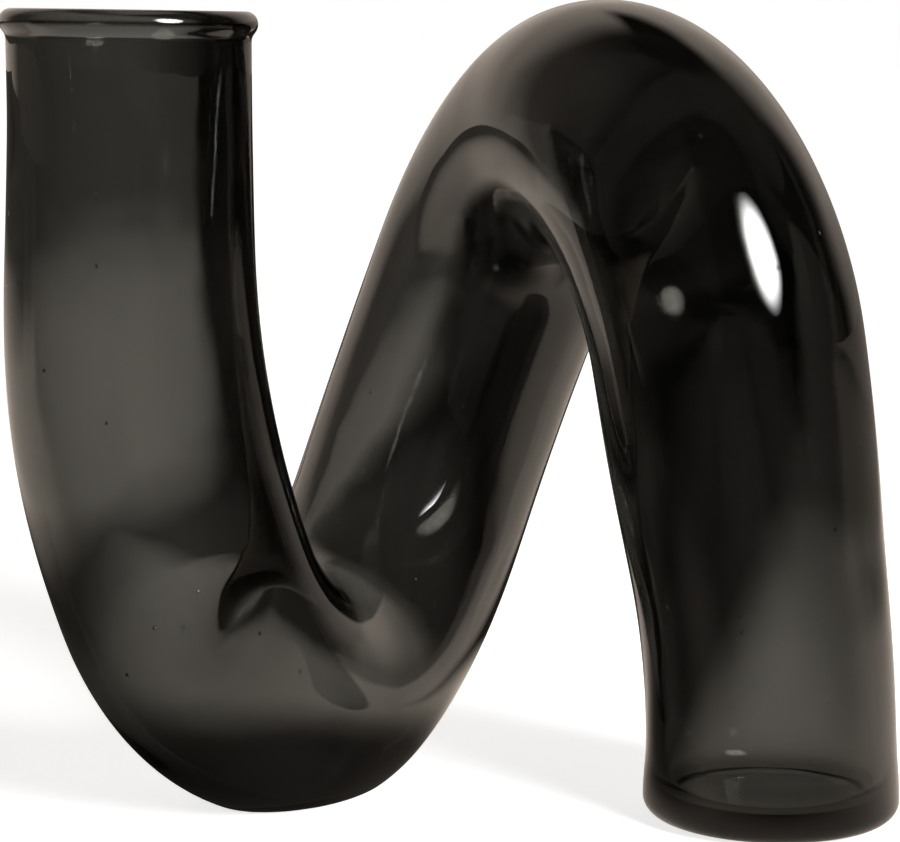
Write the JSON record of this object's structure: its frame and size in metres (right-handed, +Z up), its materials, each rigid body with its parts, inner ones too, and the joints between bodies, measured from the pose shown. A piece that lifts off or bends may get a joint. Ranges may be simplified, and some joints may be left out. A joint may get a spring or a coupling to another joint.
{
  "type": "coiled glass vase",
  "caption": "Smoked glass vase bent from one tube into an open coil, standing on a closed round foot and the flat under its lower bend, with a rolled rim at the mouth.",
  "frame": {"origin": "centre of the foot where it meets the table", "axes": "+Z up; the mouth lies towards -X from the foot; -Y is the side with the front leg and the mouth leg, +Y the side with the back leg"},
  "size_m": [0.1962, 0.1413, 0.1782],
  "materials": {
    "smoked_glass": "clear polished smoked grey-brown glass"
  },
  "bodies": {
    "root": {"closed_foot": "smoked_glass", "foot_sweep": "smoked_glass", "front_leg": "smoked_glass", "upper_bend_front": "smoked_glass", "upper_bend_back": "smoked_glass", "back_leg": "smoked_glass", "lower_bend_back": "smoked_glass", "lower_bend_front": "smoked_glass", "mouth_leg": "smoked_glass", "mouth_taper": "smoked_glass", "neck": "smoked_glass", "rolled_rim": "smoked_glass"}
  },
  "joints": []
}
